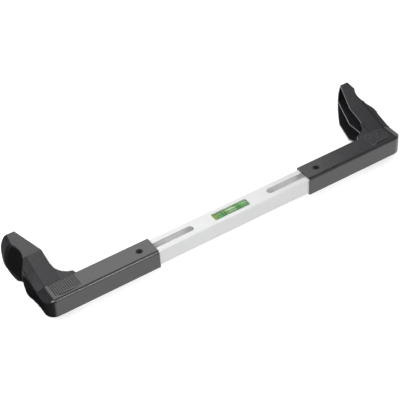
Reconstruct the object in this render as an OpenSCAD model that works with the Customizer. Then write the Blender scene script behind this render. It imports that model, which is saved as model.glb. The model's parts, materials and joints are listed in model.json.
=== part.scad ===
// Steering wheel level: a sprung telescopic spirit level that spans the inside
// of a wheel rim and shows when the wheel stands straight.
// The bar runs along X with its vial in the middle, the two arms point to +Y,
// and both arms are drawn out to their stops, as when the tool lies unused.
// Sizes are in millimetres. Sub-parts are drawn about the bar's axis, and the
// whole tool is then moved to stand centred on the ground plane.

/* [Bar] */
// Length of the tube
bar_length = 242; // [236:1:250]
// Width of the tube, front to back
bar_w = 20; // [18:0.5:24]
// Height of the tube
bar_h = 18.5; // [17.5:0.5:22]
// Wall of the tube
bar_wall = 1.5; // [1.2:0.1:1.8]
// Radius on the long edges of the tube
bar_edge_r = 0.8; // [0.5:0.1:1.2]
// Length of the vial window
window_length = 42.3; // [36:0.1:44]
// Width of the vial window
window_w = 10.6; // [8:0.2:11]
// Radius in the window's corners
window_corner_r = 1.8; // [1:0.1:3]
// Gap on either side of a stop screw's boss in its slot
slot_gap = 0.25; // [0.2:0.05:0.4]
// From the bar's middle to the inner end of a slot
slot_inner_x = 45; // [45:0.5:52]

/* [Stop screws] */
// From a stop screw to the tube's end, with the arm drawn out
stop_inset = 13.5; // [13:0.5:17]
// Diameter of the screw's head
head_d = 7; // [6.4:0.1:7]
// Height of the screw's head
head_h = 2.3; // [2:0.1:2.5]
// Size of the hexagon socket across its flats
socket_af = 3; // [2.5:0.5:3.5]
// Depth of the hexagon socket
socket_depth = 1.6; // [1.2:0.1:1.8]
// Diameter of the screw's shank
shank_d = 4; // [3:0.5:5]
// Length of the shank below the head
shank_length = 8; // [7:0.5:9]
// Gap between the head and the end of its slot at each stop
stop_gap = 0.25; // [0.2:0.05:0.4]

/* [Sleeves] */
// Length of tube left inside a sleeve, with the arm drawn out
sleeve_overlap = 29.5; // [23:0.5:33]
// Length of a sleeve, from its mouth to its flat outer end
sleeve_length = 123.7; // [122.5:0.1:125]
// Wall of the sleeve around the tube
sleeve_wall = 1.7; // [1.4:0.1:2.5]
// Running gap between tube and sleeve
slide_gap = 0.08; // [0.05:0.01:0.1]
// Radius on the sleeve's long upper edge at the front
edge_r = 3.2; // [2.4:0.1:3.4]
// Radius on the other edges of the sleeve
fine_edge_r = 1; // [0.6:0.1:1.4]
// Width of the bevel on the upper outer edge of sleeve and ramp
bevel_w = 8.2; // [6:0.1:9]
// Tilt of the bevel in degrees
bevel_tilt = 20.5; // [15:0.5:25]
// Radius of the upright front corner at the sleeve's outer end
sleeve_corner_r = 11; // [8:0.5:11.5]
// Thickness of the end wall that the spring is seated on
end_wall = 4; // [3:0.5:5]
// Number of ridges on the thumb rest
ridge_count = 13; // [9:1:15]
// Width of one ridge
ridge_w = 1.2; // [0.8:0.1:1.4]
// Height of one ridge
ridge_h = 0.4; // [0.2:0.05:0.6]
// Length of the thumb rest along the sleeve
rest_length = 28.7; // [24:0.1:32]
// From the thumb rest to the sleeve's flat outer end
rest_inset = 12; // [11:0.5:14]
// Length of the low lip in front of the thumb rest
lip_length = 22; // [14:1:26]
// Height of the lip in its middle
lip_h = 0.8; // [0.4:0.1:1.2]

/* [Limbs] */
// From the bar's axis to the tip of a limb
tip_y = 89.8; // [84:0.2:100]
// Height of a limb above the bar's axis at the knee
knee_z = 22.4; // [20:0.2:26]
// From the bar's axis to the knee
knee_y = 48; // [46:0.5:50]
// Rise of the limb per millimetre beyond the knee
fan_slope = 0.175; // [0.1:0.005:0.2]
// Radius of the limb's round tip, seen from the side
tip_r = 53; // [48:1:60]
// Width of a limb at its root, from its open side to the sleeve's flat outer end
root_w = 25.8; // [24.2:0.1:27.2]
// Outward lean of the open side beyond the knee, per millimetre
open_lean = 0.372; // [0.3:0.002:0.4]
// From the sleeve's flat outer end out to the crown of the limb's outer side
crown_out = 4.4; // [3.4:0.1:6.8]
// Radius of the outer side, seen from the front
crown_r = 56; // [50:1:62]
// From the sleeve's flat outer end out to the crest between sleeve and saddle
crest_out = 2.2; // [0.8:0.1:3.2]
// Radius of the crest's outer side, seen from the front
crest_r = 90; // [60:1:120]
// Radius of the flare that leads to the crest
flare_r = 40; // [20:1:60]
// Radius of the turn from the flange's outer side into its round tip
flange_r = 9; // [5:0.5:12]
// Radius on the upper outer edge of the flange
flange_edge_r = 3.4; // [1:0.1:3.6]
// Radius on the lower outer edge of the limb
lower_edge_r = 1.4; // [1:0.1:2.5]
// Wall of the hollow limb
limb_wall = 1.8; // [1.5:0.1:2.2]
// Thickness of the rib that halves the hollow
rib_t = 2; // [1.5:0.1:2.5]
// Radius of the web between sleeve and limb
web_r = 18.4; // [15:0.2:20]
// Thickness of the web's nose behind the sleeve
web_foot = 2.8; // [2:0.1:3.4]
// Rise of the web per millimetre towards the knee
web_slope = 0.25; // [0.15:0.01:0.28]

/* [Saddles] */
// Radius of the saddle that takes the wheel's rim
saddle_r = 22; // [20:0.5:24]
// From the bar's axis to the middle of the saddle
saddle_y = 56.5; // [55:0.5:59]
// Depth of the saddle below the limb's crown
saddle_depth = 11.6; // [9.6:0.1:12.6]
// Thickness of the rubber lining
pad_t = 2; // [1.5:0.1:2.5]
// Bare margin above and below the lining
pad_margin = 2.5; // [2:0.5:5]
// Bare lip between the lining and the limb's crowned side
pad_lip = 3; // [2:0.1:5]

/* [Springs] */
// Outer diameter of a spring
spring_d = 13; // [12:0.1:13.4]
// Diameter of its wire
wire_d = 1; // [0.8:0.1:1.2]
// Number of curls in a spring
curl_count = 18; // [14:1:20]

/* [Vial] */
// Outer diameter of the vial
vial_d = 11; // [10:0.2:11]
// Length of the vial
vial_length = 43; // [38:0.5:46]
// Wall of the vial
vial_wall = 1.2; // [1:0.1:1.4]
// Length of the plug in the vial's end
plug_length = 4.5; // [3:0.5:6]
// Length of the bubble
bubble_length = 12.6; // [9:0.2:14]
// From the middle to the inner ring lines
ring_inner_x = 6.6; // [5:0.1:7.5]
// From an inner to an outer ring line
ring_pitch = 2.9; // [2:0.1:4]

/* [Hidden] */
$fn = 64;

// Clearances: still pieces, loosely guided pieces, and pieces of other bodies
fit_gap = 0.05;
side_gap = 0.1;
seat_gap = 0.3;
// Overshoot of a cut beyond the face that it opens
cut = 1;
// Reach of a solid into one that it is fused with, or of a bore into the next
join_lap = 0.5;

// Bar
bar_half = bar_length / 2;
bore_w = bar_w - 2 * bar_wall;
bore_h = bar_h - 2 * bar_wall;
head_r = head_d / 2;
slot_w = head_d + 2 * slot_gap;
stop_screw_x = bar_half - stop_inset;
slot_outer_x = stop_screw_x + head_r + stop_gap;
travel = stop_screw_x - slot_inner_x - head_r - stop_gap;

// Sleeves
sleeve_mouth_x = bar_half - sleeve_overlap;
sleeve_end_x = sleeve_mouth_x + sleeve_length;
sleeve_bore_w = bar_w + 2 * slide_gap;
sleeve_bore_h = bar_h + 2 * slide_gap;
sleeve_w = sleeve_bore_w + 2 * sleeve_wall;
sleeve_h = sleeve_bore_h + 2 * sleeve_wall;
front_y = -sleeve_w / 2;
back_y = sleeve_w / 2;
top_z = sleeve_h / 2;
corner_x = sleeve_end_x - sleeve_corner_r;
corner_y = front_y + sleeve_corner_r;

// Tube plugs, and the wide bore that takes them in
plug_flange_t = 1.5;
plug_spigot_length = 6;
spigot_edge_r = 0.5;
plug_nose_length = 4;
wide_bore_end_x = bar_half + plug_flange_t + travel + 2.5;
seat_end_x = sleeve_end_x - end_wall;
seat_r = spring_d / 2 + seat_gap;

// Thumb rest
rest_x = sleeve_end_x - rest_inset - rest_length;
rest_front_margin = 6;
rest_front_y = front_y + rest_front_margin;
ridge_pitch = rest_length / ridge_count;
ridge_r = (pow(ridge_w / 2, 2) + pow(ridge_h, 2)) / (2 * ridge_h);
lip_w = 1;
lip_r = (pow(lip_length / 2, 2) + pow(lip_h, 2)) / (2 * lip_h);

// Limbs
root_inset = 0.7;
root_y = back_y - root_inset;
root_sink = 0.5;
ramp_slope = (knee_z - top_z) / (knee_y - root_y);
limb_open_x = sleeve_end_x - root_w;
crown_x = sleeve_end_x + crown_out;
crest_x = sleeve_end_x + crest_out;
saddle_floor_x = crown_x - saddle_depth;
crown_axis_x = crown_x - crown_r;
tip_axis_y = tip_y - tip_r;
saddle_x = saddle_floor_x + saddle_r;
crest_y = saddle_y - sqrt(pow(saddle_r, 2) - pow(saddle_x - crest_x, 2));
flare_y = crest_y - sqrt(2 * flare_r * crest_out - pow(crest_out, 2));
crease_x = limb_open_x - 0.9;
web_x = limb_open_x - web_r;
web_end_y = back_y + web_foot + web_r;
nose_x = web_x + 1.2;
nose_run = 1.4;
far_y = tip_y + 10;
far_z = 2 * knee_z;

// Height of the ramp, the fan and the web at y, a thickness t below the skin
function ramp_z(y, t = 0) = top_z + ramp_slope * (y - root_y) - t * norm([1, ramp_slope]);
function fan_z(y, t = 0) = knee_z + fan_slope * (y - knee_y) - t * norm([1, fan_slope]);
function web_z(y, t = 0) = top_z + web_slope * (y - root_y) - t * norm([1, web_slope]);

// Where ramp and fan meet, a thickness t below the skin
function knee_at(t) =
    knee_y - t * (norm([1, ramp_slope]) - norm([1, fan_slope])) / (fan_slope - ramp_slope);

// Where the fan runs into the round tip, on the line z = fan_slope * y + c
fan_c = knee_z - fan_slope * knee_y;
tip_a = 1 + pow(fan_slope, 2);
tip_b = fan_slope * fan_c - tip_axis_y;
tip_d = pow(tip_axis_y, 2) + pow(fan_c, 2) - pow(tip_r, 2);
tip_edge_y = (sqrt(pow(tip_b, 2) - tip_a * tip_d) - tip_b) / tip_a;
tip_edge_z = fan_z(tip_edge_y);

// Centre of an edge rounding of radius r that meets the crowned side at height z
function edge_axis_x(z, r) = crown_axis_x + sqrt(pow(crown_r - r, 2) - pow(z - r, 2));

// Soft turns at the bevel's two edges
bevel_top_r = 8;
bevel_end_r = 1.6;

// Angle at which a rounding starts on the crowned side, and the lap between roundings
crown_angle = 28;
edge_lap = 0.2;

// Stop screws and slider nuts
head_top_z = top_z - 0.15;
boss_top_z = head_top_z - head_h;
nut_length = 14;
nut_h = 9;

// Springs
spring_x = bar_half + plug_flange_t + seat_gap;
spring_length = seat_end_x - seat_gap - spring_x;
coil_r = (spring_d - wire_d) / 2;
rings_per_curl = 8;
wire_sides = 6;
closed_pitch = wire_d + 0.7;
open_pitch = (spring_length - wire_d - 2 * closed_pitch) / (curl_count - 2);
coil_steps = curl_count * rings_per_curl;
coil_clear_r = (coil_r - wire_d / 2) * cos(180 / rings_per_curl);

// Vial
vial_r = vial_d / 2;
vial_z = bore_h / 2 - vial_r - side_gap;
vial_bore_r = vial_r - vial_wall;
vial_bore_x0 = plug_length - vial_length / 2;
vial_bore_x1 = vial_length / 2 - 2;
barrel_sag = 0.12;
band_t = 0.1;
bubble_r = 2.9;
bubble_z = vial_z + 1.8;
cradle_r = vial_r + band_t + side_gap;
holder_length = vial_length + 20;
holder_w = bore_w - 2 * side_gap;
holder_top_z = vial_z + 3.4;
holder_screw_x = vial_length / 2 + 5.5;
holder_screw_r = 1.5;
holder_screw_depth = 5;
screw_land = 0.2;

// Drops the bar's frame onto the ground and centres the tool over the origin
module place() {
    translate([0, -(tip_y + front_y) / 2, tip_edge_z])
        children();
}

// Rounded rectangle about the origin
module rounded_rect(w, h, r) {
    square([w - 2 * r, h], center = true);
    square([w, h - 2 * r], center = true);
    for (sx = [-1, 1], sy = [-1, 1])
        translate([sx * (w / 2 - r), sy * (h / 2 - r)])
            circle(r);
}

// Bar along X from x0 to x1, from an outline in Y and Z
module along_x(x0, x1) {
    translate([x0, 0, 0])
        rotate([90, 0, 90])
            linear_extrude(x1 - x0)
                children();
}

// Bar along Y from y0 to y1, from an outline in X and Z
module along_y(y0, y1) {
    translate([0, y1, 0])
        rotate([90, 0, 0])
            linear_extrude(y1 - y0)
                children();
}

// Upright slab of full height, from an outline in X and Y
module upright() {
    translate([0, 0, -far_z])
        linear_extrude(2 * far_z)
            children();
}

// Cylinder along X
module rod_x(x0, x1, r) {
    translate([x0, 0, 0])
        rotate([0, 90, 0])
            cylinder(h = x1 - x0, r = r);
}

// The same outline above and below its middle line
module both_heights_2d() {
    children();
    mirror([0, 1])
        children();
}

// The same piece at the left and at the right of the bar's middle
module both_sides() {
    children();
    mirror([1, 0, 0])
        children();
}

// Tube with the vial window and the two slots in its top
module bar_tube() {
    color("gainsboro")
    place()
    difference() {
        along_x(-bar_half, bar_half)
            difference() {
                rounded_rect(bar_w, bar_h, bar_edge_r);
                square([bore_w, bore_h], center = true);
            }
        translate([0, 0, bore_h / 2 - cut])
            linear_extrude(bar_wall + 2 * cut) {
                rounded_rect(window_length, window_w, window_corner_r);
                both_sides()
                    slot_outline();
            }
        both_sides()
            holder_screw_hole();
    }
}

module slot_outline() {
    x0 = slot_inner_x + slot_w / 2;
    x1 = slot_outer_x - slot_w / 2;
    translate([x0, -slot_w / 2])
        square([x1 - x0, slot_w]);
    for (x = [x0, x1])
        translate([x, 0])
            circle(slot_w / 2);
}

// Countersunk screw that enters the bar from below
module holder_screw_shape(gap) {
    head = 2 * holder_screw_r + gap;
    shank = holder_screw_r + gap;
    translate([holder_screw_x, 0, -bar_h / 2]) {
        cylinder(h = screw_land, r = head);
        translate([0, 0, screw_land])
            cylinder(h = bar_wall - screw_land, r1 = head, r2 = shank);
        translate([0, 0, bar_wall])
            cylinder(h = holder_screw_depth, r = shank);
    }
}

module holder_screw_hole() {
    holder_screw_shape(fit_gap);
    translate([holder_screw_x, 0, -bar_h / 2 + bar_wall])
        cylinder(h = holder_screw_depth + seat_gap, r = holder_screw_r + fit_gap);
    translate([holder_screw_x, 0, -bar_h / 2 - cut])
        cylinder(h = cut, r = 2 * holder_screw_r + fit_gap);
}

module holder_screws() {
    color("silver")
    place()
    both_sides()
        difference() {
            holder_screw_shape(0);
            translate([holder_screw_x, 0, -bar_h / 2 - cut])
                cylinder(h = cut + 1, d = 2, $fn = 6);
        }
}

// Cradle that carries the vial inside the tube, below the window
module vial_holder() {
    floor_z = -bore_h / 2;
    stop_x = vial_length / 2 + seat_gap;
    color("darkolivegreen")
    place()
    difference() {
        union() {
            translate([-holder_length / 2, -holder_w / 2, floor_z])
                cube([holder_length, holder_w, holder_top_z - floor_z]);
            both_sides()
                translate([stop_x, -holder_w / 2, floor_z])
                    cube([3, holder_w, bore_h - side_gap]);
        }
        translate([0, 0, vial_z])
            rod_x(-stop_x, stop_x, cradle_r);
        translate([-stop_x, -cradle_r, vial_z])
            cube([2 * stop_x, 2 * cradle_r, vial_d]);
        both_sides()
            holder_screw_hole();
    }
}

// Bore of the vial, a little wider in its middle, an inset further in
module vial_bore(inset = 0) {
    x0 = vial_bore_x0 + inset;
    x1 = vial_bore_x1 - inset;
    r = vial_bore_r - inset;
    translate([0, 0, vial_z])
        rotate([0, 90, 0])
            rotate_extrude()
                polygon([
                    [0, x0], [r - barrel_sag, x0], [r - barrel_sag / 4, x0 / 2],
                    [r - barrel_sag / 4, x1 / 2], [r - barrel_sag, x1], [0, x1],
                ]);
}

module vial_tube() {
    color("palegreen", 0.5)
    place()
    difference() {
        translate([0, 0, vial_z])
            rod_x(-vial_length / 2, vial_length / 2, vial_r);
        vial_bore();
        translate([0, 0, vial_z])
            rod_x(-vial_length / 2 - cut, vial_bore_x0 + join_lap, vial_bore_r - barrel_sag);
    }
}

module vial_plug() {
    color("yellowgreen")
    place()
    translate([0, 0, vial_z])
        rod_x(-vial_length / 2, vial_bore_x0 - fit_gap, vial_bore_r - barrel_sag - fit_gap);
}

// Space that the bubble takes, grown by gap
module bubble_space(gap = 0) {
    run = bubble_length / 2 - bubble_r;
    translate([0, 0, bubble_z]) {
        rod_x(-run, run, bubble_r + gap);
        both_sides()
            translate([run, 0, 0])
                sphere(bubble_r + gap);
    }
}

module vial_bubble() {
    color("honeydew")
    place()
    intersection() {
        bubble_space();
        vial_bore(0.25);
    }
}

module vial_liquid() {
    color("limegreen", 0.7)
    place()
    difference() {
        vial_bore(fit_gap);
        bubble_space(side_gap);
    }
}

module vial_rings() {
    color("darkgreen")
    place()
    both_sides()
        for (x = [ring_inner_x, ring_inner_x + ring_pitch])
            translate([x, 0, vial_z])
                difference() {
                    rod_x(-0.25, 0.25, vial_r + band_t);
                    rod_x(-cut, cut, vial_r);
                }
}

// Waste beyond a round edge, about the edge's axis
module edge_waste(r) {
    difference() {
        square(r + cut);
        circle(r);
    }
}

// Outline of the sleeve, from x0 to x1, with its softer edge at the upper right
module sleeve_outline(x0, x1, left_r) {
    difference() {
        translate([x0, -sleeve_h / 2])
            square([x1 - x0, sleeve_h]);
        translate([x1 - edge_r, sleeve_h / 2 - edge_r])
            edge_waste(edge_r);
        translate([x1 - fine_edge_r, fine_edge_r - sleeve_h / 2])
            mirror([0, 1])
                edge_waste(fine_edge_r);
        both_heights_2d()
            translate([x0 + left_r, sleeve_h / 2 - left_r])
                mirror([1, 0])
                    edge_waste(left_r);
    }
}

// Straight run, upright round corner and flat outer end of the sleeve
module sleeve_body() {
    along_x(sleeve_mouth_x, corner_x)
        mirror([1, 0])
            sleeve_outline(-back_y, -front_y, fine_edge_r);
    translate([corner_x, corner_y, 0])
        rotate([0, 0, -90])
            rotate_extrude(angle = 90)
                sleeve_outline(0, sleeve_corner_r, 0);
    translate([corner_x, 0, 0])
        along_y(corner_y, root_y + root_sink)
            sleeve_outline(0, sleeve_corner_r, 0);
}

// Waste above the bevel, with the skin at height 0
module bevel_waste() {
    x0 = sleeve_end_x - bevel_w;
    soft_x = x0 - bevel_top_r * tan(bevel_tilt / 2);
    turn_x = sleeve_end_x - bevel_end_r;
    turn_z = -tan(bevel_tilt) * (bevel_w - bevel_end_r) - bevel_end_r / cos(bevel_tilt);
    difference() {
        polygon([
            [soft_x, 0], [soft_x, -bevel_top_r],
            [soft_x + bevel_top_r * sin(bevel_tilt), bevel_top_r * (cos(bevel_tilt) - 1)],
            [turn_x + bevel_end_r * sin(bevel_tilt), turn_z + bevel_end_r * cos(bevel_tilt)],
            [turn_x, turn_z], [crown_x + cut, turn_z], [crown_x + cut, cut], [soft_x, cut],
        ]);
        translate([soft_x, -bevel_top_r])
            circle(bevel_top_r, $fn = 120);
        translate([turn_x, turn_z])
            circle(bevel_end_r);
    }
}

// Round ridges that run out into ramp and web
module rest_ridges() {
    for (i = [0 : ridge_count - 1])
        translate([rest_x + (i + 0.5) * ridge_pitch, 0, top_z + ridge_h - ridge_r])
            along_y(rest_front_y, root_y + ridge_h / web_slope)
                circle(ridge_r, $fn = 32);
}

// Low lip in front of the ridges, highest in its middle
module rest_lip() {
    translate([rest_x + rest_length / 2, 0, top_z])
        along_y(rest_front_y - lip_w, rest_front_y)
            intersection() {
                translate([0, lip_h - lip_r])
                    circle(lip_r, $fn = 360);
                translate([-lip_length / 2, -cut])
                    square([lip_length, lip_h + 2 * cut]);
            }
}

// Space for the bar, the spring and the stop screw
module sleeve_bore() {
    translate([sleeve_mouth_x - cut, -sleeve_bore_w / 2, -sleeve_bore_h / 2])
        cube([wide_bore_end_x - sleeve_mouth_x + cut, sleeve_bore_w, sleeve_bore_h]);
    rod_x(wide_bore_end_x - cut, seat_end_x, seat_r);
    translate([stop_screw_x, 0, 0])
        cylinder(h = top_z + cut, r = head_r + side_gap);
}

// Limb seen from the side: ramp, fan and round tip, a thickness t below the skin
module limb_side(t, y0) {
    y1 = knee_at(t);
    intersection() {
        translate([tip_axis_y, 0])
            circle(tip_r - t, $fn = 180);
        polygon([
            [y0, -ramp_z(y0, t)], [y1, -ramp_z(y1, t)], [far_y, -fan_z(far_y, t)],
            [far_y, fan_z(far_y, t)], [y1, ramp_z(y1, t)], [y0, ramp_z(y0, t)],
        ]);
    }
}

// Limb seen from the front: an outer side that is crowned about the bar's height
module crowned_side(x, r, t) {
    translate([x - r, 0])
        circle(r - t, $fn = 180);
    translate([x - 2 * r, -far_z])
        square([r, 2 * far_z]);
}

// Space inside the limb's crowned sides, from y0 to y1, on both sides of the saddle
module limb_sides(t, y0, y1) {
    along_y(y0, saddle_y)
        crowned_side(crest_x, crest_r, t);
    along_y(saddle_y, y1)
        crowned_side(crown_x, crown_r, t);
}

// Disc with a soft rim that the flange's tip keeps within
module flange_disc(t) {
    rim_r = tip_r - t;
    turn_r = flange_r - t;
    depth = crown_x - web_x + 3 * cut;
    translate([crown_x - t, tip_axis_y, 0])
        rotate([0, -90, 0])
            rotate_extrude($fn = 180) {
                square([rim_r - turn_r, depth]);
                translate([0, turn_r])
                    square([rim_r, depth - turn_r]);
                translate([rim_r - turn_r, turn_r])
                    circle(turn_r);
            }
}

// Outer boundary of the limb seen from above, cut by the saddle
module limb_plan_outer(x0, y0, t, saddle_cut_r) {
    difference() {
        polygon([
            [x0, y0], [sleeve_end_x - t, y0], [sleeve_end_x - t, flare_y],
            [crest_x, flare_y], [crest_x, saddle_y], [crown_x + cut, saddle_y], [crown_x + cut, far_y],
            [limb_open_x + open_lean * (far_y - knee_y), far_y], [x0, knee_y],
        ]);
        translate([saddle_x, saddle_y])
            circle(saddle_cut_r, $fn = 120);
        translate([sleeve_end_x + flare_r, flare_y])
            circle(flare_r + t, $fn = 120);
    }
}

// Rounded inner corner between sleeve and limb, with its nose, seen from above
module web_plan() {
    difference() {
        polygon([
            [nose_x, root_y], [nose_x, back_y], [nose_x + nose_run, back_y + web_foot],
            [nose_x + nose_run, web_end_y], [limb_open_x + cut, web_end_y], [limb_open_x + cut, root_y],
        ]);
        translate([web_x, web_end_y])
            circle(web_r, $fn = 120);
    }
}

// Pie-shaped cutter that rounds a long outer edge of the limb
module edge_cutter(r, from_angle) {
    reach = 5 * r;
    difference() {
        polygon([
            [0, 0], [reach * cos(from_angle), reach * sin(from_angle)],
            [reach, reach], [0, reach],
        ]);
        circle(r);
    }
}

// Waste of one long edge of the fan, from the knee to the tip
module fan_edge(r) {
    knee_x = edge_axis_x(knee_z, r);
    lean = atan((knee_x - edge_axis_x(tip_edge_z, r)) / (tip_edge_y - knee_y));
    translate([knee_x, knee_y, knee_z])
        rotate([atan(fan_slope), 0, lean])
            translate([0, 0, -r])
                along_y(-edge_lap, far_y - knee_y)
                    edge_cutter(r, crown_angle);
}

module limb_edges() {
    fan_edge(flange_edge_r);
    mirror([0, 0, 1]) {
        fan_edge(lower_edge_r);
        translate([sleeve_end_x - lower_edge_r, knee_y, knee_z])
            rotate([atan(ramp_slope), 0, 0])
                translate([0, 0, -lower_edge_r])
                    along_y(root_y - knee_y, edge_lap)
                        edge_cutter(lower_edge_r, 0);
    }
}

// Bevel on the sleeve, and on the ramp a depth t below the skin
module sleeve_bevel() {
    translate([0, 0, top_z])
        along_y(front_y - cut, root_y + root_sink)
            bevel_waste();
}

module ramp_bevel(t = 0) {
    translate([0, knee_y, knee_z])
        rotate([atan(ramp_slope), 0, 0])
            translate([0, 0, -t])
                along_y((root_y - knee_y) * norm([1, ramp_slope]), 0)
                    bevel_waste();
}

// Web seen from the side, a thickness t below the skin
module web_side(t, y0) {
    polygon([
        [y0, -web_z(y0, t)], [web_end_y, -web_z(web_end_y, t)],
        [web_end_y, web_z(web_end_y, t)], [y0, web_z(y0, t)],
    ]);
}

// Limb and web without their hollow
module limb_body() {
    intersection() {
        along_x(crease_x, crown_x + cut)
            limb_side(0, root_y);
        upright() {
            limb_plan_outer(limb_open_x, root_y, 0, saddle_r);
            web_plan();
        }
        limb_sides(0, root_y, far_y);
        flange_disc(0);
    }
    intersection() {
        along_x(web_x, crease_x)
            web_side(0, root_y);
        upright()
            web_plan();
    }
}

// Hollow of limb and web, open towards the bar and halved by a rib
module limb_hollow() {
    t = limb_wall;
    difference() {
        union() {
            intersection() {
                along_x(crease_x, crown_x)
                    limb_side(t, back_y);
                upright()
                    limb_plan_outer(crease_x, back_y, t, saddle_r + pad_t + t);
                limb_sides(t, back_y, far_y);
                flange_disc(t);
            }
            along_x(nose_x + nose_run + t, crease_x)
                web_side(t, back_y);
        }
        translate([web_x, 0, -rib_t / 2])
            cube([crown_x, far_y, rib_t]);
        ramp_bevel(t);
    }
}

// Lining of the saddle, grown by gap
module saddle_lining(gap) {
    y0 = saddle_y - saddle_r;
    y1 = saddle_y + saddle_r;
    intersection() {
        upright()
            difference() {
                translate([saddle_x, saddle_y])
                    circle(saddle_r + pad_t + gap, $fn = 120);
                translate([saddle_x, saddle_y])
                    circle(saddle_r, $fn = 120);
            }
        along_x(saddle_floor_x - 2 * pad_t, crown_x)
            limb_side(pad_margin - gap, y0);
        limb_sides(pad_lip - gap, y0, y1);
    }
}

// Lining that keeps its bare margin below the bevel as well
module saddle_pad(gap) {
    difference() {
        saddle_lining(gap);
        ramp_bevel(pad_margin - gap);
    }
}

module arm() {
    difference() {
        union() {
            difference() {
                union() {
                    sleeve_body();
                    difference() {
                        limb_body();
                        limb_edges();
                    }
                }
                sleeve_bevel();
                ramp_bevel();
            }
            rest_ridges();
            rest_lip();
        }
        sleeve_bore();
        limb_hollow();
        saddle_pad(fit_gap);
    }
}

// Low socket head, flush with the sleeve, over the slider nut
module stop_screw() {
    translate([stop_screw_x, 0, 0])
        difference() {
            union() {
                translate([0, 0, boss_top_z])
                    cylinder(h = head_h, r = head_r);
                translate([0, 0, boss_top_z - shank_length])
                    cylinder(h = shank_length + join_lap, r = shank_d / 2);
            }
            translate([0, 0, head_top_z - socket_depth])
                cylinder(h = socket_depth + cut, d = socket_af / cos(30), $fn = 6);
        }
}

// Block that slides in the tube, with a boss that stands in the slot
module slider_nut() {
    nut_top_z = bore_h / 2 - side_gap;
    translate([stop_screw_x, 0, 0])
        difference() {
            union() {
                translate([-nut_length / 2, -bore_w / 2 + side_gap, nut_top_z - nut_h])
                    cube([nut_length, bore_w - 2 * side_gap, nut_h]);
                translate([0, 0, nut_top_z - cut])
                    cylinder(h = boss_top_z - nut_top_z + cut, r = head_r);
            }
            translate([0, 0, nut_top_z - nut_h - cut])
                cylinder(h = nut_h + 3 * cut, r = shank_d / 2 + fit_gap);
        }
}

// Plug with a spigot in the tube and a nose in the spring
module bar_end_plug() {
    along_x(bar_half, bar_half + plug_flange_t)
        rounded_rect(bar_w, bar_h, bar_edge_r);
    along_x(bar_half - plug_spigot_length, bar_half)
        rounded_rect(bore_w - 2 * fit_gap, bore_h - 2 * fit_gap, spigot_edge_r);
    rod_x(bar_half, bar_half + plug_flange_t + plug_nose_length, coil_clear_r - seat_gap);
}

// Middle of the wire at step i of a spring
function coil_along(turn) =
    turn < 1
        ? closed_pitch * turn
        : turn > curl_count - 1
            ? closed_pitch * (2 + turn - curl_count) + open_pitch * (curl_count - 2)
            : closed_pitch + open_pitch * (turn - 1);
function coil_point(i) =
    let (a = 360 * i / rings_per_curl)
    [
        spring_x + wire_d / 2 + coil_along(i / rings_per_curl),
        coil_r * cos(a),
        coil_r * sin(a),
    ];
// Corner k of the wire's section at step i
function wire_point(i, k) =
    let (
        a = 360 * i / rings_per_curl,
        b = 360 * k / wire_sides,
        out = wire_d / 2 * cos(b)
    )
    coil_point(i) + [wire_d / 2 * sin(b), out * cos(a), out * sin(a)];

least_gap = min([
    for (i = [0 : coil_steps - rings_per_curl])
        norm(coil_point(i + rings_per_curl) - coil_point(i)) - wire_d
]);
echo(spring_least_gap = least_gap, travel = travel);

module spring() {
    last = coil_steps * wire_sides;
    polyhedron(
        points = [for (i = [0 : coil_steps], k = [0 : wire_sides - 1]) wire_point(i, k)],
        faces = concat(
            [[for (k = [0 : wire_sides - 1]) k]],
            [[for (k = [wire_sides - 1 : -1 : 0]) last + k]],
            [
                for (i = [0 : coil_steps - 1], k = [0 : wire_sides - 1])
                    let (
                        a = i * wire_sides + k,
                        b = i * wire_sides + (k + 1) % wire_sides
                    )
                    each [[a, a + wire_sides, b], [b, a + wire_sides, b + wire_sides]]
            ]
        )
    );
}

module right_arm() {
    color("dimgray")
    place()
    arm();
}

module right_saddle_pad() {
    color("black")
    place()
    saddle_pad(0);
}

module right_stop_screw() {
    color("darkslategray")
    place()
    stop_screw();
}

module right_slider_nut() {
    color("lightslategray")
    place()
    slider_nut();
}

module right_spring() {
    color("silver")
    place()
    spring();
}

module right_bar_end_plug() {
    color("slategray")
    place()
    bar_end_plug();
}

module left_arm() {
    mirror([1, 0, 0])
        right_arm();
}

module left_saddle_pad() {
    mirror([1, 0, 0])
        right_saddle_pad();
}

module left_stop_screw() {
    mirror([1, 0, 0])
        right_stop_screw();
}

module left_slider_nut() {
    mirror([1, 0, 0])
        right_slider_nut();
}

module left_spring() {
    mirror([1, 0, 0])
        right_spring();
}

module left_bar_end_plug() {
    mirror([1, 0, 0])
        right_bar_end_plug();
}

bar_tube();
vial_holder();
holder_screws();
vial_tube();
vial_plug();
vial_liquid();
vial_bubble();
vial_rings();
left_arm();
left_saddle_pad();
left_stop_screw();
left_slider_nut();
left_spring();
left_bar_end_plug();
right_arm();
right_saddle_pad();
right_stop_screw();
right_slider_nut();
right_spring();
right_bar_end_plug();
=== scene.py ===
"""Steering wheel level: finishes, detailed pieces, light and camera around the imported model.

The level lies on a pale floor with both arms drawn out. Lengths are in metres, the
bar runs along X, the arms point to +Y and the vial looks up along +Z.
"""

from __future__ import annotations

import json
import logging
import math
from abc import ABC, abstractmethod
from collections.abc import Callable, Mapping, Sequence
from dataclasses import dataclass, field
from enum import Enum

import bmesh
import bpy
from mathutils import Matrix, Vector

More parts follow.
